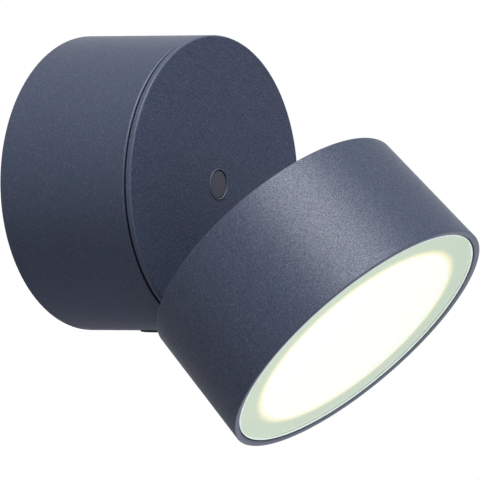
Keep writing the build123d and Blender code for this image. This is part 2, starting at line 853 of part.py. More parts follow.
reflector_edge = chamber_radius - slip
reflector_neck = diffuser_radius + reflector_wall
with BuildPart() as reflector:
    with BuildSketch(head_section):
        with BuildLine():
            Polyline(
                (reflector_foot, board_front),
                (reflector_mouth, diffuser_back),
                (diffuser_radius + fit, diffuser_back),
                (diffuser_radius + fit, ledge),
                (reflector_edge, ledge),
                (reflector_edge, ledge - reflector_flange),
                (reflector_neck, ledge - reflector_flange),
                (reflector_neck, diffuser_back - reflector_wall),
                (reflector_foot + reflector_wall, board_front),
                close=True,
            )
        make_face()
    revolve(axis=head_axis)
finish(reflector.part, "reflector")

with BuildPart() as diffuser:
    with BuildSketch(head.offset(diffuser_back)):
        Circle(diffuser_radius)
    extrude(amount=diffuser_thickness)
finish(diffuser.part, "diffuser")

# Glass and its seal, which goes under the glass and up round its edge
with BuildPart() as lens_gasket:
    with BuildSketch(head_section):
        with BuildLine():
            Polyline(
                (chamber_radius - lens_gasket_lip, ledge),
                (pocket_radius - fit, ledge),
                (pocket_radius - fit, lens_face - lens_gasket_setback),
                (lens_radius + fit, lens_face - lens_gasket_setback),
                (lens_radius + fit, lens_back),
                (chamber_radius - lens_gasket_lip, lens_back),
                close=True,
            )
        make_face()
    revolve(axis=head_axis)
finish(lens_gasket.part, "lens_gasket")

with BuildPart() as glass_lens:
    with BuildSketch(head.offset(lens_back)):
        Circle(lens_radius)
    extrude(amount=lens_thickness)
    front_rim = glass_lens.edges().filter_by(GeomType.CIRCLE).sort_by(head_axis)[-1]
    chamfer(front_rim, lens_bevel)
finish(glass_lens.part, "glass_lens")
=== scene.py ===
"""Looks of a round outdoor wall light: painted castings, lit glass and inner pieces on a plain stage."""

from functools import cache
from math import cos, radians, sin

import bpy
import numpy as np
from bpy.props import FloatProperty, FloatVectorProperty, PointerProperty
from mathutils import Matrix, Vector


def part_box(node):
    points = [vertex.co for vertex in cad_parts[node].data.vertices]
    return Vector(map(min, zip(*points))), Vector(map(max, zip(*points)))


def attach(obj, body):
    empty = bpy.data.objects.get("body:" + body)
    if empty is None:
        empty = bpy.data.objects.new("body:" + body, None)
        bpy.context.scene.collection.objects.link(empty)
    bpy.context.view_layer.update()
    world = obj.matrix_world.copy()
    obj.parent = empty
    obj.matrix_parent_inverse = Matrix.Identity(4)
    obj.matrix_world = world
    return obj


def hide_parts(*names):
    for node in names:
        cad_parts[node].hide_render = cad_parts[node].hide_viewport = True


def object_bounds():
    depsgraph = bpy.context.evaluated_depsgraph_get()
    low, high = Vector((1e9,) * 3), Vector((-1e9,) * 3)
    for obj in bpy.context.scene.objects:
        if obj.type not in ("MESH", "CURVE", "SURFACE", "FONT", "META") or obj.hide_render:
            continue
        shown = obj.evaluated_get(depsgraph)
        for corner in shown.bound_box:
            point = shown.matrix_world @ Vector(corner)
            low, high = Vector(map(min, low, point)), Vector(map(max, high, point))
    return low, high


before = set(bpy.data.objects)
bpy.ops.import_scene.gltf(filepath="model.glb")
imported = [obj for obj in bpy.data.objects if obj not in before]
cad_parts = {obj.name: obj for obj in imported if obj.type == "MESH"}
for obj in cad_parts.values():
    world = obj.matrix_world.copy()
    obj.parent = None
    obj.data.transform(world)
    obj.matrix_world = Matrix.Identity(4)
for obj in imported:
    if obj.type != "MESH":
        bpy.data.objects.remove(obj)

bl_info = {
    "name": "Outdoor wall light",
    "version": (1, 0, 0),
    "blender": (4, 5, 0),
    "location": "View3D > Sidebar > Wall light",
    "description": "Builds the looks of a round outdoor wall light around its packed parts",
    "category": "Object",
}

IMAGE_PIXELS = 480
TURN_STEPS = 256
ARC_STEPS = 6
SECTION_STEPS = 16
BRACE = 0.0003
BRACE_SHARE = 0.2
SLACK = 0.00002
CLIP_START = 0.01

# Textures of the finishes other than the powder coat, in metres
MOULD_GRAIN = 0.0006
MOULD_PATCH = 0.006
MOULD_RELIEF = 0.00003
SPANGLE = 0.0025
SCRATCH = 0.00025
SCRATCH_RELIEF = 0.000015
GLASS_HAZE = 0.004
ENAMEL_CLOUD = 0.03

# Darkest share of a tint, and swing of the roughness, in the finishes other than the powder coat
MOULD_DARK = 0.82
MOULD_SWING = 0.12
PLATE_DARK = 0.78
SCRATCH_SWING = 0.15
SPANGLE_SWING = 0.08

# Share of the first of two textures in a tone: grain over patches, spangle over scratches
MOULD_SHARE = 0.6
SPANGLE_SHARE = 0.55

# Roughness of the glass, its ground edge and its enamel, each with its swing, and of the floor
GLASS_ROUGHNESS = 0.02
GLASS_SWING = 0.02
GROUND_ROUGHNESS = 0.4
GROUND_SWING = 0.2
ENAMEL_ROUGHNESS = 0.6
ENAMEL_SWING = 0.2
FLOOR_ROUGHNESS = 0.9

# Times the coordinates along X, Y and Z: below 1 draws a texture out
SCRATCH_STRETCH = (0.05, 1.0, 1.0)
FACE_STRETCH = (0.5, 1.4, 1.4)

GLASS_IOR = 1.5
WHITE = (1, 1, 1)

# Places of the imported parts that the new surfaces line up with
cad_low, cad_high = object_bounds()
cap_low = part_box("swivel_cap")[0]
plug_low, plug_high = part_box("centre_plug")
diffuser_low, diffuser_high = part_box("diffuser")
screw_low, screw_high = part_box("drum_fixing_screw")


def length(name, description, default):
    """A property in metres."""
    return FloatProperty(name=name, description=description, default=default, unit="LENGTH", precision=5)


def span(name, description, start, end):
    """Two lengths in metres: where a soft step starts and where it is full."""
    options = {"default": (start, end), "unit": "LENGTH", "precision": 5, "size": 2}
    return FloatVectorProperty(name=name, description=description, **options)


def limits(name, description, start, end):
    """Two plain numbers: where a soft step starts and where it is full."""
    return FloatVectorProperty(name=name, description=description, default=(start, end), size=2)


def angle(name, description, degrees):
    """A property that is an angle, given in degrees."""
    return FloatProperty(name=name, description=description, default=radians(degrees), subtype="ANGLE")


def amount(name, description, default):
    """A plain number."""
    return FloatProperty(name=name, description=description, default=default)


def colour(name, description, default):
    """A linear colour."""
    return FloatVectorProperty(name=name, description=description, default=default, subtype="COLOR", size=3)


class CapSizes(bpy.types.PropertyGroup):
    """Sizes of the paint on the cap's face, and of the plug in it."""

    face: length("Cap face", "From the wall to the cap's face", -cap_low.y)
    paint: length("Paint", "Thickness of the paint on the cap's face", 0.00006)
    paint_radius: length("Paint radius", "Radius of the flat of the cap's face", 0.05)
    paint_edge: length("Paint edge", "Rounding of the paint's edges", 0.00005)
    right: length("Plug right", "How far right of the cap's middle the plug is", -0.00073)
    up: length("Plug up", "How far above the cap's middle the plug is", -0.0003)
    hole: length("Hole", "Radius of the hole in the paint", 0.00495)
    bead_width: length("Bead width", "Width of the bead of paint round the hole", 0.00035)
    bead_height: length("Bead height", "Height of the bead of paint round the hole", 0.00024)
    radius: length("Plug radius", "Radius of the plug", 0.00475)
    depth: length("Plug depth", "Thickness of the plug", plug_high.y - plug_low.y)
    edge: length("Plug edge", "Rounding of the plug's front edge", 0.0002)
    back_edge: length("Plug back edge", "Rounding of the plug's back edge", 0.0001)
    proud: length("Plug proud", "How far the middle of the plug stands proud of the cap's face", 0.00005)
    crown: length("Plug crown", "How far the middle of the plug stands proud of its edge", 0.00003)


class CoverSizes(bpy.types.PropertyGroup):
    """Sizes of the cover over the screw under the drum."""

    level: length("Level", "From the drum's axis to its underside at the screw", 0.05153)
    radius: length("Radius", "Radius of the cover", 0.0054)
    seat: length("Seat", "How far the cover's back lies inside the drum's underside", 0.0006)
    side: length("Side", "How far the cover's edge stands below the drum", 0.0004)
    crown: length("Crown", "How far the cover's middle stands below the drum", 0.0007)
    edge: length("Edge", "Rounding of the cover's edge", 0.0002)
    back_edge: length("Back edge", "Rounding of the cover's back edge", 0.0001)


class HeadSizes(bpy.types.PropertyGroup):
    """Sizes of the lamp head. Levels run along its axis from the middle of the diffuser."""

    tilt: angle("Tilt", "How far the lamp head looks down at rest", 44)
    rear: length("Rear", "Rear rim", -0.0399)
    recess: length("Recess", "Floor of the recess in the rear", -0.0279)
    floor: length("Floor", "Floor that carries the light source", -0.0249)
    ledge: length("Ledge", "Ledge under the glass", 0.001)
    front: length("Front", "Front rim", 0.0044)
    rear_radius: length("Rear radius", "Outer radius of the rear rim", 0.0499)
    front_radius: length("Front radius", "Outer radius of the front rim", 0.0509)
    lip_radius: length("Lip radius", "Radius where the front rim begins to slope in to the glass", 0.05)
    chamfer: length("Chamfer", "Foot of the slope between the front rim and the glass", 0.004)
    skirt_radius: length("Skirt radius", "Inner radius of the rear rim", 0.0474)
    recess_radius: length("Recess radius", "Radius of the recess at its floor", 0.04767)
    pocket_radius: length("Pocket radius", "Radius of the pocket for the glass", 0.0488)
    chamber_radius: length("Chamber radius", "Radius of the chamber behind the glass", 0.0462)
    edge: length("Edge", "Rounding of the outer edges", 0.0004)
    inner_edge: length("Inner edge", "Rounding of the inner edges", 0.0002)
    # The next two bound the painted light on the rim round the glass.
    rim_light_blend: length("Rim blend", "Half width of the soft bound of the rim's shiny coat", 0.0003)
    rim_light_radius: span("Rim radius", "Radius where the rim's shiny coat ends", 0.0505, 0.0509)


class GlassSizes(bpy.types.PropertyGroup):
    """Sizes of the glass. Levels run along the lamp head's axis from the middle of the diffuser."""

    radius: length("Radius", "Radius of the glass", 0.0484)
    back: length("Back", "Back of the enamel", 0.00102)
    face: length("Face", "Front of the glass", 0.0039)
    bevel: length("Bevel", "Rounding of the ground front edge", 0.0003)
    bevel_blend: length("Bevel blend", "Width of the soft bound of the ground edge", 0.00003)
    enamel: length("Enamel", "Thickness of the enamel on the back of the glass", 0.00006)
    enamel_gap: length("Enamel gap", "Room between the enamel and the clear plate", 0.00034)
    back_edge: length("Back edge", "Rounding of the edges behind", 0.00002)
    seal_drop: length("Seal drop", "How far the seal round the edge lies below the glass", 0.0004)
    glow_radius: length("Glow radius", "Radius where the light begins to turn warm", 0.0377)
    halo_radius: length("Halo radius", "Radius where the light is warmest", 0.0401)
    fade_radius: length("Fade radius", "Radius where the enamel ring begins to show", 0.0377)
    ring_radius: length("Ring radius", "Radius where only the enamel ring shows", 0.0419)
    # Strength of the lamp's glow, and of the painted light of the enamel ring.
    brightness: amount("Brightness", "Strength of the lit enamel", 1.5)
    # Painted light: strength of the glow painted on the ground edge.
    edge_light: amount("Edge light", "Strength of the light in the ground edge", 0.62)


class CoatSettings(bpy.types.PropertyGroup):
    """Grain, relief and film of the powder coat."""

    grain: length("Grain", "Width of the fine grain", 0.0004)
    tops: limits("Tops", "Height of the grain where its pits end, and where its tops start", 0.3, 0.7)
    patch: length("Patch", "Width of the soft patches of tone", 0.005)
    cool: limits("Cool", "Noise where the cool patches start, and where they are full", 0.45, 0.65)
    fleck: length("Fleck", "Width of the cells, some of which hold a bright fleck", 0.0006)
    fleck_share: limits("Fleck share", "Random number where flecks start, and where they are full", 0.7, 1.0)
    fleck_size: limits("Fleck size", "Distance where a fleck starts to fade, and where it ends", 0.2, 0.6)
    fleck_tone: amount("Fleck tone", "Share of the fleck colour in a fleck", 0.3)
    # Painted light: how much of the lighter rim colour is laid on the rim round the glass.
    rim_light_share: amount("Rim tone", "Share of the rim colour on the rim round the glass", 0.9)
    metal: amount("Metal", "Share of metal in the coat", 0.05)
    # Painted highlight: share of the highlight colour on the bead round the plug, rising over the soft
    # patches.
    bead_highlight_share: amount("Bead tone", "Share of the edge colour on the bead round the plug", 0.1)
    bead_highlight_patch: amount("Bead patch", "Rise of that share over the soft patches", 0.2)
    roughness: amount("Roughness", "Roughness under the film", 0.38)
    swing: amount("Swing", "Swing of the roughness over the soft patches", 0.06)
    shine: amount("Shine", "Mirror level under the film", 0.01)
    film: amount("Film", "Weight of the clear film on the drum and lamp head", 0.5)
    face_film: amount("Face film", "Weight of the clear film on the cap's face", 0.33)
    film_grain: amount("Film grain", "Rise of the film's weight from pits to tops, per metre", 3000.0)
    film_roughness: amount("Film roughness", "Roughness of the film", 0.5)
    head_relief: length("Head relief", "Height of the grain on the lamp head and hinge", 0.00014)
    face_relief: length("Face relief", "Height of the grain on the cap's face", 0.0001)
    drum_relief: length("Drum relief", "Height of the grain on the drum, cap and bead", 0.00005)


class SeamSizes(bpy.types.PropertyGroup):
    """Soft bounds of the painted highlights and painted shade beside the seam.

    Depths run from the wall, radii and heights from the drum's axis.
    """

    # The edge, side and corner bounds place painted highlights; the shade and inside bounds place painted
    # shade.
    edge_start: span("Edge start", "Depth where the drum's shiny edge starts", 0.04995, 0.0502)
    edge_end: span("Edge end", "Depth where the drum's shiny edge ends", 0.0503, 0.0504)
    edge_height: span("Edge height", "Height where the drum's shiny edge starts", -0.015, 0.02)
    edge_highlight_share: amount("Edge tone", "Share of the edge colour on the drum's shiny edge", 0.3)
    shade_start: span("Shade start", "Depth where the dark of the drum's lower edge starts", 0.0501, 0.0505)
    shade_end: span("Shade end", "Depth where the dark of the drum's lower edge ends", 0.0508, 0.0509)
    shade_height: span("Shade height", "Height where the dark of the drum's lower edge ends", -0.01, 0.02)
    shade_tone: amount("Shade tone", "Share of the seam colour on the drum's lower edge", 0.8)
    inside_start: span("Inside start", "Depth where the inside of the seam starts", 0.044, 0.0441)
    inside_end: span("Inside end", "Depth where the inside of the seam ends", 0.05105, 0.0511)
    inside_radius: span("Inside radius", "Radius where the inside of the seam ends", 0.05, 0.0501)
    side_start: span("Side start", "Depth where the cap's side starts", 0.051, 0.0512)
    side_radius: span("Side radius", "Radius where the cap's side starts", 0.0501, 0.0504)
    side_highlight_share: amount("Side tone", "Share of the edge colour on the cap's side", 0.06)
    corner_start: span("Corner start", "Depth where the cap's front corner starts", 0.0527, 0.0529)
    corner_radius: span("Corner radius", "Radius where the cap's front corner starts", 0.05, 0.0501)
    corner_highlight_share: amount("Corner tone", "Share of the edge colour on the cap's front corner", 0.12)


class FinishColours(bpy.types.PropertyGroup):
    """Linear colours of the finishes."""

    coat: colour("Powder coat", "Anthracite powder coat", (0.035, 0.0425, 0.0705))
    coat_cool: colour("Cool coat", "Soft cool patches of the powder coat", (0.0295, 0.0442, 0.0688))
    coat_pit: colour("Coat pits", "Low spots of the powder coat", (0.0263, 0.0322, 0.0537))
    coat_fleck: colour("Coat flecks", "Fine bright flecks in the powder coat", (0.116, 0.129, 0.166))
    # Painted highlight: a lighter coat colour that stands in for light caught on the rounded edges beside
    # the seam and on the bead round the plug.
    painted_highlight: colour("Coat edges", "Thin shiny coat on the edges beside the seam", (0.2, 0.22, 0.275))
    # Painted light: a lighter colour that stands in for light falling on the rim and slope round the glass.
    rim: colour("Rim", "Thin shiny coat on the rim and slope round the glass", (0.3, 0.31, 0.335))
    # Painted shade: a slightly darker copy of the coat on the drum and cap, to follow how much light falls
    # on them.
    drum_shade_tint: colour("Drum tint", "Times the coat on the drum and cap", (0.94, 0.95, 0.96))
    # Painted light: the cap's face takes a lighter copy of the coat, to brighten the face where the lamps
    # leave it darker.
    face_light_tint: colour("Face tint", "Times the coat on the cap's face", (1.29, 1.26, 1.24))
    # Painted shade: a dark colour put inside the seam and on the drum's lower edge, where shade falls.
    seam: colour("Seam", "Dark inside of the seam", (0.01, 0.014, 0.028))
    plug: colour("Plug", "Moulded plug in the cap", (0.044, 0.0435, 0.06))
    cover: colour("Cover", "Rubber cover over the screw", (0.032, 0.035, 0.042))
    black_steel: colour("Black steel", "Blackened screws and pin", (0.05, 0.052, 0.058))
    zinc: colour("Zinc", "Zinc plated steel", (0.56, 0.57, 0.58))
    brass: colour("Brass", "Terminal and earth screws", (0.66, 0.45, 0.18))
    rubber: colour("Rubber", "Black seals and glands", (0.018, 0.018, 0.02))
    silicone: colour("Silicone", "Grey heat pad", (0.2, 0.2, 0.21))
    nylon: colour("Nylon", "Washers and terminal block", (0.74, 0.72, 0.67))
    driver: colour("Driver case", "Moulded case of the driver", (0.62, 0.63, 0.64))
    reflector: colour("Reflector", "White reflector", (0.82, 0.83, 0.8))
    opal: colour("Opal", "Diffuser behind the glass", (0.88, 0.87, 0.8))
    board: colour("Board", "White solder mask of the LED board", (0.78, 0.79, 0.76))
    led: colour("LED", "Phosphor of the LED chips", (0.9, 0.68, 0.16))
    glass: colour("Glass", "Faint green of the clear glass", (0.97, 1.0, 0.98))
    ground_edge: colour("Ground edge", "Ground edge of the glass", (0.72, 0.8, 0.74))
    glow: colour("Glow", "Light of the lamp", (0.885, 0.853, 0.8))
    halo: colour("Halo", "Warm edge of the light", (1.07, 0.93, 0.53))
    # Painted light: the enamel ring glows in place of the lamplight that reaches it through the glass.
    ring: colour("Ring", "Enamel ring round the light", (0.455, 0.527, 0.394))
    enamel: colour("Enamel", "Enamel without its light", (0.02, 0.02, 0.02))
    floor: colour("Floor", "Pale floor", (0.55, 0.555, 0.58))


class StageSettings(bpy.types.PropertyGroup):
    """Camera, lamps and floor."""

    azimuth: angle("Azimuth", "Direction that the camera stands in", -56.084)
    elevation: angle("Elevation", "Height of the camera above the horizon", 1.913)
    roll: angle("Roll", "Turn of the camera about its view", -0.186)
    distance: length("Distance", "From the camera to the middle of the wall face", 0.66917)
    aim_right: length("Aim right", "Place of the wall face's middle, right of the view's centre", -0.050977)
    aim_up: length("Aim up", "Place of the wall face's middle, above the view's centre", 0.020249)
    focal_pixels: amount("Focal length", "Focal length in pixels of the image", 1868.5)
    floor_level: length("Floor level", "Height of the floor", -0.26)
    floor_radius: length("Floor radius", "Radius of the floor", 0.9)
    floor_fade: length("Floor fade", "Radius where the floor starts to fade into the background", 0.6)
    ambient: amount("Ambient", "Strength of the surrounding light", 0.08)
    ambient_tint: colour("Ambient tint", "Cool surrounding light", (0.62, 0.8, 1.5))
    lamp_distance: length("Lamp distance", "From the object's middle to each soft box", 0.9)
    key_turn: angle("Key turn", "Azimuth of the soft box above the camera", -134.5)
    key_rise: angle("Key rise", "Elevation of the soft box above the camera", 62.4)
    key_size: length("Key size", "Width of the soft box above the camera", 0.45)
    key_power: amount("Key power", "Watts of the soft box above the camera", 9.9)
    left_turn: angle("Left turn", "Azimuth of the soft box on the left of the key", -156)
    left_rise: angle("Left rise", "Elevation of the soft box on the left of the key", 52.9)
    left_size: length("Left size", "Width of the soft box on the left of the key", 0.45)
    left_power: amount("Left power", "Watts of the soft box on the left of the key", 8.2)
    right_turn: angle("Right turn", "Azimuth of the soft box on the right of the key", -101.2)
    right_rise: angle("Right rise", "Elevation of the soft box on the right of the key", 67.9)
    right_size: length("Right size", "Width of the soft box on the right of the key", 0.25)
    right_power: amount("Right power", "Watts of the soft box on the right of the key", 0.2)
    fill_turn: angle("Fill turn", "Azimuth of the low soft box in front", -56)
    fill_rise: angle("Fill rise", "Elevation of the low soft box in front", 10)
    fill_size: length("Fill size", "Width of the low soft box in front", 0.5)
    fill_power: amount("Fill power", "Watts of the low soft box in front", 0.7)
    lamp_tint: colour("Lamp tint", "Light of the three soft boxes above", (1.0, 1.0, 1.0))
    fill_tint: colour("Fill tint", "Cool light of the low soft box in front", (0.45, 0.75, 1.5))


class WallLightSettings(bpy.types.PropertyGroup):
    """All settings of the wall light."""

    cap: PointerProperty(type=CapSizes)
    cover: PointerProperty(type=CoverSizes)
    head: PointerProperty(type=HeadSizes)
    glass: PointerProperty(type=GlassSizes)
    coat: PointerProperty(type=CoatSettings)
    seam: PointerProperty(type=SeamSizes)
    finish: PointerProperty(type=FinishColours)
    stage: PointerProperty(type=StageSettings)


def settings():
    """The scene's settings of the wall light."""
    return bpy.context.scene.wall_light


class Shade:
    """A socket of a node tree. Arithmetic on it adds Math nodes, and node() adds any other node."""

    def __init__(self, tree, socket=None):
        self.tree = tree
        self.socket = socket

    def node(self, kind, options, sockets, output=0):
        """Add a node: its options first, then the values or links of its sockets. Returns one output."""
        made = self.tree.nodes.new(kind)
        for name, value in options.items():
            setattr(made, name, value)
        for name, value in sockets.items():
            feed(made.inputs[name], value)
        return Shade(self.tree, made.outputs[output])

    def maths(self, operation, first, second):
        """One Math node."""
        return self.node("ShaderNodeMath", {"operation": operation}, {0: first, 1: second})

    def __add__(self, other):
        return self.maths("ADD", self, other)

    def __radd__(self, other):
        return self.maths("ADD", other, self)

    def __sub__(self, other):
        return self.maths("SUBTRACT", self, other)

    def __rsub__(self, other):
        return self.maths("SUBTRACT", other, self)

    def __mul__(self, other):
        return self.maths("MULTIPLY", self, other)

    def __rmul__(self, other):
        return self.maths("MULTIPLY", other, self)


def feed(socket, value):
    """Link a Shade to a socket, or set the socket's own value."""
    if isinstance(value, Shade):
        value.tree.links.new(value.socket, socket)
    elif socket.type == "RGBA":
        socket.default_value = (*value, 1.0)
    else:
        socket.default_value = value


def feed_all(shader, sockets):
    """Set or link several sockets of a shader."""
    for name, value in sockets.items():
        feed(shader.inputs[name], value)


def new_finish(name):
    """A new material, its shader and the Object coordinates that its patterns read."""
    material = bpy.data.materials.new(name)
    material.use_nodes = True
    tree = material.node_tree
    place = Shade(tree).node("ShaderNodeTexCoord", {}, {}, "Object")
    return material, tree.nodes["Principled BSDF"], place


def show(material, surface):
    """Make a shader the surface of a material."""
    feed(material.node_tree.nodes["Material Output"].inputs["Surface"], surface)


def step(value, low, high):
    """A soft step: 0 below low, 1 above high, smooth in between."""
    sockets = {"Value": value, "From Min": low, "From Max": high}
    return value.node("ShaderNodeMapRange", {"interpolation_type": "SMOOTHSTEP"}, sockets)


def blend(factor, first, second):
    """A mix of two colours."""
    return factor.node("ShaderNodeMix", {"data_type": "RGBA"}, {0: factor, 6: first, 7: second}, 2)


def tinted(tone, tint):
    """A colour times a tint."""
    options = {"data_type": "RGBA", "blend_type": "MULTIPLY"}
    return tone.node("ShaderNodeMix", options, {0: 1.0, 6: tone, 7: tint}, 2)


def noise(place, size, detail=2.0):
    """Noise whose cells are as wide as the given size in metres."""
    return place.node("ShaderNodeTexNoise", {}, {"Vector": place, "Scale": 1 / size, "Detail": detail})


def cells(place, size):
    """Distance from the middle of a cell of the given size, in cells, and a random number for the cell."""
    distance = place.node("ShaderNodeTexVoronoi", {}, {"Vector": place, "Scale": 1 / size}, "Distance")
    tint = Shade(place.tree, distance.socket.node.outputs["Color"])
    return distance, place.node("ShaderNodeSeparateColor", {}, {"Color": tint})


def bump(height, distance):
    """A normal that follows a height of 1 for the given distance in metres."""
    return height.node("ShaderNodeBump", {}, {"Height": height, "Distance": distance})


def band(value, start, end):
    """1 between two soft bounds, 0 outside them."""
    return step(value, *start) * (1 - step(value, *end))


def grain_tops(grain):
    """0 in the pits of the coat's grain, 1 on its tops."""
    return step(grain, *settings().coat.tops)


def coat_tone(place):
    """Colour, fine grain and soft patches of the powder coat, with sparse bright flecks."""
    finish = settings().finish
    coat = settings().coat
    grain = noise(place, coat.grain, detail=1.0)
    patch = noise(place, coat.patch)
    middle, share = cells(place, coat.fleck)
    fleck = step(share, *coat.fleck_share) * (1 - step(middle, *coat.fleck_size))
    tone = blend(step(patch, *coat.cool), finish.coat, finish.coat_cool)
    tone = blend(grain_tops(grain), finish.coat_pit, tone)
    return blend(fleck * coat.fleck_tone, tone, finish.coat_fleck), grain, patch


def coat_finish(shader, tone, grain, patch, relief, film):
    """Set a shader to powder coat of a tone and relief, with a clear film that is thicker on its tops."""
    coat = settings().coat
    feed_all(shader, {
        "Base Color": tone,
        "Metallic": coat.metal,
        "Roughness": coat.roughness + coat.swing * (patch - 0.5),
        "Specular IOR Level": coat.shine,
        "Coat Weight": film + coat.film_grain * relief * (grain_tops(grain) - 0.5),
        "Coat Roughness": coat.film_roughness,
        "Normal": bump(grain, relief),
    })


@cache
def anthracite_coat():
    """Powder coat of the lamp head and hinge, with painted light on the rim and slope round the glass.

    The rim is found from the level along the lamp head's axis and the distance to it.
    """
    head = settings().head
    coat = settings().coat
    material, shader, place = new_finish("anthracite_coat")
    local = head_local(place)
    level = place.node("ShaderNodeSeparateXYZ", {}, {"Vector": local}, "Z")
    # The rim mask places painted light on the rim and slope round the glass.
    front = step(level, head.chamfer - head.rim_light_blend, head.chamfer + head.rim_light_blend)
    rim = front * (1 - step(distance_from_axis(local), *head.rim_light_radius))
    tone, grain, patch = coat_tone(place)
    tone = blend(rim * coat.rim_light_share, tone, settings().finish.rim)
    coat_finish(shader, tone, grain, patch, coat.head_relief, coat.film)
    return material


@cache
def seam_coat():
    """Powder coat of the drum and cap, with painted highlights on the edges beside the seam and painted
    shade inside it.

    The edges and the seam are found from the distances to the drum's axis and to the wall.
    The drum's edge has a painted highlight above and painted shade below.
    """
    finish = settings().finish
    coat = settings().coat
    seam = settings().seam
    material, shader, place = new_finish("seam_coat")
    radius = distance_from_axis(place, (1, 0, 1))
    height = place.node("ShaderNodeSeparateXYZ", {}, {"Vector": place}, "Z")
    depth = Shade(place.tree, height.socket.node.outputs["Y"]) * -1
    tone, grain, patch = coat_tone(place)
    # Painted highlights on the drum's upper edge, the cap's side and the cap's front corner.
    edge = band(depth, seam.edge_start, seam.edge_end) * step(height, *seam.edge_height)
    side = step(depth, *seam.side_start) * step(radius, *seam.side_radius)
    corner = step(depth, *seam.corner_start) * step(radius, *seam.corner_radius)
    highlit = seam.edge_highlight_share * edge + seam.side_highlight_share * side + seam.corner_highlight_share * corner
    tone = blend(highlit, tone, finish.painted_highlight)
    # Painted shade on the drum's lower edge.
    shade = band(depth, seam.shade_start, seam.shade_end) * (1 - step(height, *seam.shade_height))
    # Painted shade: the whole coat of the drum and cap is darkened by a tint.
    tone = tinted(blend(seam.shade_tone * shade, tone, finish.seam), finish.drum_shade_tint)
    # Painted shade inside the seam, where the gap is dark.
    inside = band(depth, seam.inside_start, seam.inside_end) * (1 - step(radius, *seam.inside_radius))
    coat_finish(shader, blend(inside, tone, finish.seam), grain, patch, coat.drum_relief, coat.film)
    return material


@cache
def face_coat():
    """Powder coat of the cap's face: a grain drawn out along X, under a thinner film, lightened by a tint
    that is painted light.
    """
    coat = settings().coat
    material, shader, place = new_finish("face_coat")
    drawn = place.node("ShaderNodeVectorMath", {"operation": "MULTIPLY"}, {0: place, 1: FACE_STRETCH})
    tone, grain, patch = coat_tone(drawn)
    # Painted light: a tint lightens the coat of the cap's face.
    tone = tinted(tone, settings().finish.face_light_tint)
    coat_finish(shader, tone, grain, patch, coat.face_relief, coat.face_film)
    return material


@cache
def bead_coat():
    """Powder coat of the bead round the plug's hole, lightened by the painted highlight."""
    coat = settings().coat
    material, shader, place = new_finish("bead_coat")
    tone, grain, patch = coat_tone(place)
    # Painted highlight on the bead.
    tone = blend(coat.bead_highlight_share + coat.bead_highlight_patch * patch, tone, settings().finish.painted_highlight)
    coat_finish(shader, tone, grain, patch, coat.drum_relief, coat.film)
    return material


@cache
def moulding(name, tint, roughness, level=0.4):
    """Moulded plastic or rubber: a faint texture from the mould and slow patches of tone."""
    material, shader, place = new_finish(name)
    grain = noise(place, MOULD_GRAIN)
    patch = noise(place, MOULD_PATCH)
    dark = tuple(MOULD_DARK * part for part in tint)
    feed_all(shader, {
        "Base Color": blend(MOULD_SHARE * grain + (1 - MOULD_SHARE) * patch, dark, tint),
        "Roughness": roughness + MOULD_SWING * (patch - 0.5),
        "Specular IOR Level": level,
        "Normal": bump(grain, MOULD_RELIEF),
    })
    return material


@cache
def plating(name, tint, roughness):
    """Plated metal: a spangle of slightly different tones, and fine scratches along X."""
    material, shader, place = new_finish(name)
    share = cells(place, SPANGLE)[1]
    drawn = place.node("ShaderNodeMapping", {}, {"Vector": place, "Scale": SCRATCH_STRETCH})
    scratch = noise(drawn, SCRATCH, detail=3.0)
    dark = tuple(PLATE_DARK * part for part in tint)
    feed_all(shader, {
        "Base Color": blend(SPANGLE_SHARE * share + (1 - SPANGLE_SHARE) * scratch, dark, tint),
        "Metallic": 1.0,
        "Roughness": roughness + SCRATCH_SWING * (scratch - 0.5) + SPANGLE_SWING * (share - 0.5),
        "Normal": bump(scratch, SCRATCH_RELIEF),
    })
    return material


def zinc_plate():
    """Zinc plated steel."""
    return plating("zinc_plate", tuple(settings().finish.zinc), roughness=0.36)


def black_plate():
    """Blackened steel."""
    return plating("black_plate", tuple(settings().finish.black_steel), roughness=0.42)


def seal_rubber():
    """Black rubber of seals and glands."""
    return moulding("seal_rubber", tuple(settings().finish.rubber), roughness=0.7, level=0.3)


def nylon_moulding():
    """White nylon."""
    return moulding("nylon_moulding", tuple(settings().finish.nylon), roughness=0.45)


def wall_place():
    """Matrix of the drum: X across, Z out from the wall, origin in the middle of the wall face."""
    return Matrix(((1, 0, 0, 0), (0, 0, -1, 0), (0, 1, 0, 0), (0, 0, 0, 1)))


def head_place():
    """Matrix of the lamp head: X across, Z along its axis, origin in the middle of the diffuser."""
    tilt = settings().head.tilt
    across = Vector((1, 0, 0))
    forward = Vector((0, -cos(tilt), -sin(tilt)))
    place = Matrix((across, forward.cross(across), forward)).transposed().to_4x4()
    place.translation = (diffuser_low + diffuser_high) / 2
    return place


def head_local(place):
    """A point in the lamp head's frame, in metres."""
    matrix = head_place()
    sockets = {"Vector": place, "Location": matrix.translation, "Rotation": matrix.to_euler()}
    return place.node("ShaderNodeMapping", {"vector_type": "TEXTURE"}, sockets)


def distance_from_axis(place, across=(1, 1, 0)):
    """Distance of a point from an axis, in metres: 1 for directions across it, 0 for the one along it."""
    flat = place.node("ShaderNodeVectorMath", {"operation": "MULTIPLY"}, {0: place, 1: across})
    return place.node("ShaderNodeVectorMath", {"operation": "LENGTH"}, {0: flat}, "Value")


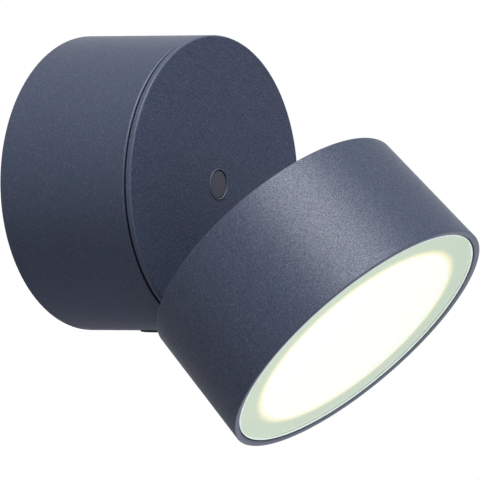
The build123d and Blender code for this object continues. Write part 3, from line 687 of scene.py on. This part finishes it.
@cache
def lit_enamel():
    """Enamel on the back of the glass: the lamp's even glow that turns warm at its edge, and a pale green
    ring whose glow is painted light in place of the light falling on it.
    """
    finish = settings().finish
    glass = settings().glass
    material, shader, place = new_finish("lit_enamel")
    radius = distance_from_axis(head_local(place))
    cloud = noise(place, ENAMEL_CLOUD)
    light = blend(step(radius, glass.glow_radius, glass.halo_radius), finish.glow, finish.halo)
    # The ring's glow is painted light on the enamel.
    light = blend(step(radius, glass.fade_radius, glass.ring_radius), light, finish.ring)
    feed_all(shader, {
        "Base Color": finish.enamel,
        "Roughness": ENAMEL_ROUGHNESS + ENAMEL_SWING * (cloud - 0.5),
        "Specular IOR Level": 0.0,
        "Emission Color": light,
        "Emission Strength": glass.brightness,
    })
    return material


@cache
def clear_glass():
    """Clear glass with a ground edge: the edge scatters light and glows with painted light, the rest lets it
    through.
    """
    finish = settings().finish
    glass = settings().glass
    material, shader, place = new_finish("clear_glass")
    haze = noise(place, GLASS_HAZE)
    feed_all(shader, {
        "Base Color": finish.glass,
        "Roughness": GLASS_ROUGHNESS + GLASS_SWING * haze,
        "IOR": GLASS_IOR,
        "Transmission Weight": 1.0,
    })
    # Painted light: the ground edge glows, in place of the light caught in it.
    ground = {
        "Base Color": finish.ground_edge,
        "Roughness": GROUND_ROUGHNESS + GROUND_SWING * haze,
        "Emission Color": finish.ground_edge,
        "Emission Strength": glass.edge_light,
    }
    radius = distance_from_axis(head_local(place))
    bevel_start = glass.radius - glass.bevel
    edge = step(radius, bevel_start, bevel_start + glass.bevel_blend)
    scattered = place.node("ShaderNodeBsdfPrincipled", {}, ground)
    clear = Shade(place.tree, shader.outputs[0])
    show(material, place.node("ShaderNodeMixShader", {}, {0: edge, 1: clear, 2: scattered}))
    return material


def rounded_outline(corners, radii):
    """An open outline with arcs for corners, as (radius, height) rows.

    Where the outline turns by t at a corner, an arc of radius r touches both sides r*tan(t/2) away from it.
    A brace point just outside each end of the arc keeps the flat stretch flat when it is smoothly shaded.
    """
    corners = np.asarray(corners, float)
    radii = np.asarray(radii, float)[:, None]
    middle = corners[1:-1]
    into = middle - corners[:-2]
    out = corners[2:] - middle
    into_length = np.linalg.norm(into, axis=1, keepdims=True)
    out_length = np.linalg.norm(out, axis=1, keepdims=True)
    into = into / into_length
    out = out / out_length
    cross = into[:, :1] * out[:, 1:] - into[:, 1:] * out[:, :1]
    turn = np.arctan2(cross, (into * out).sum(axis=1, keepdims=True))
    touch = radii * np.tan(np.abs(turn) / 2)
    inward = np.stack([-into[:, 1], into[:, 0]], axis=1) * np.sign(turn)
    centre = middle - into * touch + inward * radii
    swept = turn * np.linspace(0, 1, ARC_STEPS + 1)
    across = -inward[:, :1] * np.cos(swept) + inward[:, 1:] * np.sin(swept)
    along = -inward[:, :1] * np.sin(swept) - inward[:, 1:] * np.cos(swept)
    arcs = centre[:, None] + radii[:, None] * np.stack([across, along], axis=2)
    first = middle - into * (touch + np.minimum(BRACE, BRACE_SHARE * into_length))
    last = middle + out * (touch + np.minimum(BRACE, BRACE_SHARE * out_length))
    rows = np.concatenate([first[:, None], arcs, last[:, None]], axis=1).reshape(-1, 2)
    return np.concatenate([corners[:1], rows, corners[-1:]])


def circles(rows, right=0.0, up=0.0):
    """Row (r, h) at angle t is (r cos t + a, r sin t + b, h).

    The shift (a, b) is (right, up) for the smallest r and falls evenly to nothing for the largest.
    """
    turn = np.linspace(0, 2 * np.pi, TURN_STEPS, endpoint=False)
    radius = rows[:, :1]
    share = (radius.max() - radius) / np.ptp(radius)
    height = np.broadcast_to(rows[:, 1:], (len(rows), TURN_STEPS))
    across = radius * np.cos(turn) + right * share
    along = radius * np.sin(turn) + up * share
    return np.stack([across, along, height], axis=2)


def placed(points, place):
    """Points in the frame of a matrix."""
    matrix = np.array(place)
    return points.reshape(-1, 3) @ matrix[:3, :3].T + matrix[:3, 3]


def turned(outline, place):
    """A closed solid of revolution: circles of the outline's rows, and a point at each end on the axis.

    The outline runs from the axis behind to the axis in front, with the solid on its left.
    """
    rows = outline[1:-1]
    ends = np.array([[0, 0, outline[0, 1]], [0, 0, outline[-1, 1]]])
    points = np.concatenate([circles(rows).reshape(-1, 3), ends])
    index = np.arange(len(rows) * TURN_STEPS).reshape(len(rows), TURN_STEPS)
    ahead = np.roll(index, -1, axis=1)
    sides = np.stack([index[:-1], ahead[:-1], ahead[1:], index[1:]], axis=2).reshape(-1, 4)
    back = np.stack([np.full(TURN_STEPS, index.size), ahead[0], index[0]], axis=1)
    front = np.stack([np.full(TURN_STEPS, index.size + 1), index[-1], ahead[-1]], axis=1)
    return placed(points, place), sides.tolist() + back.tolist() + front.tolist()


def hoop(section, place, right=0.0, up=0.0):
    """A closed ring of circles: the section's last row joins its first, with the solid on the left."""
    index = np.arange(len(section) * TURN_STEPS).reshape(len(section), TURN_STEPS)
    ahead = np.roll(index, -1, axis=1)
    sides = np.stack([index, ahead, np.roll(ahead, -1, axis=0), np.roll(index, -1, axis=0)], axis=2)
    return placed(circles(section, right, up), place), sides.reshape(-1, 4).tolist()


def disc_outline(radius, low, side, crown, edges):
    """Outline of a disc, for turned(): the levels of its back, of the top of its side and of its middle."""
    return rounded_outline([(0, low), (radius, low), (radius, side), (0, crown)], edges)


def ring_section(inner, outer, low, high, edge):
    """Section of a flat ring with rounded upper edges, for hoop()."""
    return rounded_outline([(outer, low), (outer, high), (inner, high), (inner, low)], [edge, edge])


def bead_section(radius, width, height, level):
    """Section of a bead: an ellipse round (radius, level), for hoop()."""
    turn = np.linspace(0, 2 * np.pi, SECTION_STEPS, endpoint=False)
    return np.stack([radius + width / 2 * np.cos(turn), level + height * np.sin(turn)], axis=1)


def add_piece(name, surface, material, body, slot, *nodes):
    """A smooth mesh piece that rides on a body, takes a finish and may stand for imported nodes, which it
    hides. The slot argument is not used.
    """
    points, faces = surface
    mesh = bpy.data.meshes.new(name)
    mesh.from_pydata(points.tolist(), [], faces)
    mesh.polygons.foreach_set("use_smooth", np.ones(len(faces), bool))
    if mesh.validate():
        raise RuntimeError(f"{name} has faces that are not valid")
    mesh.materials.append(material)
    piece = bpy.data.objects.new(name, mesh)
    bpy.context.scene.collection.objects.link(piece)
    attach(piece, body)
    if nodes:
        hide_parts(*nodes)


def finish_nodes(material, *nodes):
    """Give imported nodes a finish."""
    for node in nodes:
        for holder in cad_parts[node].material_slots:
            holder.material = material


class WALL_LIGHT_OT_castings(bpy.types.Operator):
    """Powder coat of the wall drum, swivel cap and hinge castings"""

    bl_idname = "wall_light.castings"
    bl_label = "Painted castings"

    def execute(self, context):
        finish_nodes(seam_coat(), "base_drum", "swivel_cap")
        finish_nodes(anthracite_coat(), "hinge_lug", "hinge_bracket")
        return {"FINISHED"}


class WALL_LIGHT_OT_cap_face(bpy.types.Operator):
    """Paint on the cap's face with a bead round its hole, and the slightly crowned plug in the hole"""

    bl_idname = "wall_light.cap_face"
    bl_label = "Cap face and plug"

    def execute(self, context):
        cap = settings().cap
        top = cap.face + cap.paint
        section = ring_section(cap.hole, cap.paint_radius, cap.face - cap.paint, top, cap.paint_edge)
        paint = hoop(section, wall_place(), cap.right, cap.up)
        add_piece("cap_paint", paint, face_coat(), "cap", "powder_coat")
        place = wall_place() @ Matrix.Translation((cap.right, cap.up, 0))
        bead = hoop(bead_section(cap.hole + cap.bead_width / 2, cap.bead_width, cap.bead_height, top), place)
        add_piece("hole_bead", bead, bead_coat(), "cap", "powder_coat")
        middle = cap.face + cap.proud
        edges = [cap.back_edge, cap.edge]
        outline = disc_outline(cap.radius, middle - cap.depth, middle - cap.crown, middle, edges)
        plastic = moulding("plug_moulding", tuple(settings().finish.plug), roughness=0.5, level=0.3)
        add_piece("plug_disc", turned(outline, place), plastic, "cap", "plug_plastic", "centre_plug")
        return {"FINISHED"}


class WALL_LIGHT_OT_screw_cover(bpy.types.Operator):
    """Flat rubber cover over the screw under the drum"""

    bl_idname = "wall_light.screw_cover"
    bl_label = "Screw cover"

    def execute(self, context):
        cover = settings().cover
        back = cover.level - cover.seat
        side = cover.level + cover.side
        edges = [cover.back_edge, cover.edge]
        outline = disc_outline(cover.radius, back, side, cover.level + cover.crown, edges)
        place = Matrix(((1, 0, 0, 0), (0, -1, 0, 0), (0, 0, -1, 0), (0, 0, 0, 1)))
        place.translation = (0, (screw_low.y + screw_high.y) / 2, 0)
        rubber = moulding("cover_rubber", tuple(settings().finish.cover), roughness=0.7, level=0.3)
        add_piece("screw_cover", turned(outline, place), rubber, "wall_base", "black_rubber")
        return {"FINISHED"}


class WALL_LIGHT_OT_head(bpy.types.Operator):
    """Painted lamp head: a tapered cup with a recess behind, a thin front rim and a pocket for the glass"""

    bl_idname = "wall_light.head"
    bl_label = "Lamp head"

    def execute(self, context):
        head = settings().head
        corners = [
            (0, head.recess),
            (head.recess_radius, head.recess),
            (head.skirt_radius, head.rear),
            (head.rear_radius, head.rear),
            (head.front_radius, head.front),
            (head.lip_radius, head.front),
            (head.pocket_radius, head.chamfer),
            (head.pocket_radius, head.ledge),
            (head.chamber_radius, head.ledge),
            (head.chamber_radius, head.floor),
            (0, head.floor),
        ]
        inner = head.inner_edge
        radii = [inner, inner, head.edge, head.edge, inner, inner, inner, inner, inner]
        surface = turned(rounded_outline(corners, radii), head_place())
        add_piece("head_shell", surface, anthracite_coat(), "lamp_head", "powder_coat", "head_housing")
        return {"FINISHED"}


class WALL_LIGHT_OT_glass(bpy.types.Operator):
    """Clear glass plate with a ground edge, the lit enamel on its back and the seal round it"""

    bl_idname = "wall_light.glass"
    bl_label = "Glass, enamel and seal"

    def execute(self, context):
        glass = settings().glass
        head = settings().head
        place = head_place()
        enamel_front = glass.back + glass.enamel
        plate_back = enamel_front + glass.enamel_gap
        edges = [glass.back_edge, glass.bevel]
        plate = turned(disc_outline(glass.radius, plate_back, glass.face, glass.face, edges), place)
        add_piece("glass_plate", plate, clear_glass(), "lamp_head", "frosted_glass", "glass_lens")
        edges = [glass.back_edge, glass.back_edge]
        enamel = turned(disc_outline(glass.radius, glass.back, enamel_front, enamel_front, edges), place)
        add_piece("glass_enamel", enamel, lit_enamel(), "lamp_head", "frosted_glass", "glass_lens")
        inner = glass.radius + SLACK
        outer = head.pocket_radius - SLACK
        section = ring_section(inner, outer, head.ledge + SLACK, glass.face - glass.seal_drop, 2 * SLACK)
        seal = hoop(section, place)
        add_piece("glass_seal", seal, seal_rubber(), "lamp_head", "black_rubber", "lens_gasket")
        return {"FINISHED"}


class WALL_LIGHT_OT_seals(bpy.types.Operator):
    """Rubber of the seals, glands and cable grommet"""

    bl_idname = "wall_light.seals"
    bl_label = "Seals and glands"

    def execute(self, context):
        finish_nodes(seal_rubber(), "wall_gasket", "cap_seal_ring")
        finish_nodes(seal_rubber(), "cable_grommet", "cap_gland", "head_gland")
        return {"FINISHED"}


class WALL_LIGHT_OT_fixings(bpy.types.Operator):
    """Plating of the wall bracket, hinge pin, swivel stack, screws and nuts"""

    bl_idname = "wall_light.fixings"
    bl_label = "Bracket and fixings"

    def execute(self, context):
        finish_nodes(zinc_plate(), "wall_bracket", "fixing_nut", "swivel_bolt", "disc_spring", "swivel_nut")
        finish_nodes(zinc_plate(), "swivel_stop_pin", "hinge_nut", "hinge_lug_screws")
        finish_nodes(zinc_plate(), "hinge_bracket_screws", "driver_screws", "led_board_screws")
        finish_nodes(black_plate(), "drum_fixing_screw", "hinge_pin")
        brass = plating("brass_plate", tuple(settings().finish.brass), roughness=0.3)
        finish_nodes(brass, "terminal_screws", "earth_screw")
        finish_nodes(nylon_moulding(), "thrust_washer", "friction_washers")
        return {"FINISHED"}


class WALL_LIGHT_OT_electrics(bpy.types.Operator):
    """Finishes of the driver, terminal block, LED board, reflector and diffuser"""

    bl_idname = "wall_light.electrics"
    bl_label = "Driver and light source"

    def execute(self, context):
        finish = settings().finish
        finish_nodes(nylon_moulding(), "terminal_block")
        finish_nodes(moulding("driver_case", tuple(finish.driver), roughness=0.55), "led_driver")
        finish_nodes(moulding("heat_pad", tuple(finish.silicone), roughness=0.7), "thermal_pad")
        finish_nodes(moulding("solder_mask", tuple(finish.board), roughness=0.35), "led_board")
        finish_nodes(moulding("led_phosphor", tuple(finish.led), roughness=0.4), "led_chips")
        finish_nodes(moulding("white_mirror", tuple(finish.reflector), roughness=0.3), "reflector")
        finish_nodes(moulding("opal_moulding", tuple(finish.opal), roughness=0.4), "diffuser")
        return {"FINISHED"}


def seen_rays(start):
    """1 for rays that show the background: straight to the camera, mirrored or through glass."""
    camera = start.node("ShaderNodeLightPath", {}, {}, "Is Camera Ray")
    glossy = Shade(start.tree, camera.socket.node.outputs["Is Glossy Ray"])
    through = Shade(start.tree, camera.socket.node.outputs["Is Transmission Ray"])
    return start.maths("MINIMUM", camera + glossy + through, 1.0)


def floor_paint():
    """Pale floor that keeps shadows in its middle and fades to the white of the background round it."""
    stage = settings().stage
    material, shader, place = new_finish("stage_floor")
    matt = {"Roughness": FLOOR_ROUGHNESS, "Specular IOR Level": 0.0}
    feed_all(shader, {"Base Color": settings().finish.floor, **matt})
    fade = step(distance_from_axis(place), stage.floor_fade, stage.floor_radius) * seen_rays(place)
    white = place.node("ShaderNodeEmission", {}, {"Color": WHITE, "Strength": 1.0})
    paint = Shade(place.tree, shader.outputs[0])
    show(material, place.node("ShaderNodeMixShader", {}, {0: fade, 1: paint, 2: white}))
    return material


def white_world(ambient, tint):
    """Even cool light all round, with white behind the object."""
    world = bpy.data.worlds.new("white_surround")
    world.use_nodes = True
    background = world.node_tree.nodes["Background"]
    seen = seen_rays(Shade(world.node_tree))
    feed_all(background, {"Color": blend(seen, tint, WHITE), "Strength": ambient + (1 - ambient) * seen})
    bpy.context.scene.world = world


def soft_box(name, middle, tint):
    """A square area lamp that looks at a point. The stage's settings give its direction, size and power."""
    stage = settings().stage
    turn = getattr(stage, f"{name}_turn")
    rise = getattr(stage, f"{name}_rise")
    lamp = bpy.data.lights.new(name, "AREA")
    lamp.size = getattr(stage, f"{name}_size")
    lamp.energy = getattr(stage, f"{name}_power")
    lamp.color = tint
    away = Vector((cos(rise) * cos(turn), cos(rise) * sin(turn), sin(rise)))
    holder = bpy.data.objects.new(name, lamp)
    holder.location = middle + stage.lamp_distance * away
    holder.rotation_euler = away.to_track_quat("Z", "Y").to_euler()
    bpy.context.scene.collection.objects.link(holder)


def add_camera(stage):
    """A camera that sees the middle of the wall face off its centre, as in the photograph."""
    turn, rise, roll = stage.azimuth, stage.elevation, stage.roll
    back = Vector((sin(turn) * cos(rise), -cos(turn) * cos(rise), sin(rise)))
    level = Vector((cos(turn), sin(turn), 0))
    upright = back.cross(level)
    right = cos(roll) * level + sin(roll) * upright
    up = cos(roll) * upright - sin(roll) * level
    lens = bpy.data.cameras.new("camera")
    lens.lens = stage.focal_pixels / IMAGE_PIXELS * lens.sensor_width
    lens.clip_start = CLIP_START
    camera = bpy.data.objects.new("camera", lens)
    place = Matrix((right, up, back)).transposed().to_4x4()
    place.translation = stage.distance * back - stage.aim_right * right - stage.aim_up * up
    camera.matrix_world = place
    bpy.context.scene.collection.objects.link(camera)
    bpy.context.scene.camera = camera


class WALL_LIGHT_OT_stage(bpy.types.Operator):
    """Floor, surround, lamps and camera"""

    bl_idname = "wall_light.stage"
    bl_label = "Stage"

    def execute(self, context):
        stage = settings().stage
        turn = np.linspace(0, 2 * np.pi, TURN_STEPS, endpoint=False)
        level = np.full(TURN_STEPS, stage.floor_level)
        rim = np.stack([stage.floor_radius * np.cos(turn), stage.floor_radius * np.sin(turn), level], axis=1)
        mesh = bpy.data.meshes.new("stage_floor")
        mesh.from_pydata(rim.tolist(), [], [tuple(range(TURN_STEPS))])
        mesh.materials.append(floor_paint())
        floor = bpy.data.objects.new("stage_floor", mesh)
        context.scene.collection.objects.link(floor)
        white_world(stage.ambient, stage.ambient_tint)
        middle = (cad_low + cad_high) / 2
        for name in ("key", "left", "right"):
            soft_box(name, middle, stage.lamp_tint)
        soft_box("fill", middle, stage.fill_tint)
        add_camera(stage)
        context.scene.view_settings.view_transform = "Standard"
        return {"FINISHED"}


OPERATORS = (
    WALL_LIGHT_OT_castings,
    WALL_LIGHT_OT_cap_face,
    WALL_LIGHT_OT_screw_cover,
    WALL_LIGHT_OT_head,
    WALL_LIGHT_OT_glass,
    WALL_LIGHT_OT_seals,
    WALL_LIGHT_OT_fixings,
    WALL_LIGHT_OT_electrics,
    WALL_LIGHT_OT_stage,
)


class WALL_LIGHT_PT_panel(bpy.types.Panel):
    """Buttons that build the wall light"""

    bl_idname = "WALL_LIGHT_PT_panel"
    bl_label = "Wall light"
    bl_space_type = "VIEW_3D"
    bl_region_type = "UI"
    bl_category = "Wall light"

    def draw(self, context):
        for operator in OPERATORS:
            self.layout.operator(operator.bl_idname)


SETTINGS = (
    CapSizes,
    CoverSizes,
    HeadSizes,
    GlassSizes,
    CoatSettings,
    SeamSizes,
    FinishColours,
    StageSettings,
    WallLightSettings,
)
CLASSES = (*SETTINGS, *OPERATORS, WALL_LIGHT_PT_panel)


def register():
    """Add the classes and the scene's settings."""
    for item in CLASSES:
        bpy.utils.register_class(item)
    bpy.types.Scene.wall_light = PointerProperty(type=WallLightSettings)


def unregister():
    """Take the classes and the scene's settings away."""
    del bpy.types.Scene.wall_light
    for item in reversed(CLASSES):
        bpy.utils.unregister_class(item)


def main():
    """Build every piece and the stage."""
    register()
    for operator in OPERATORS:
        group, name = operator.bl_idname.split(".")
        getattr(getattr(bpy.ops, group), name)()


if __name__ == "__main__":
    main()
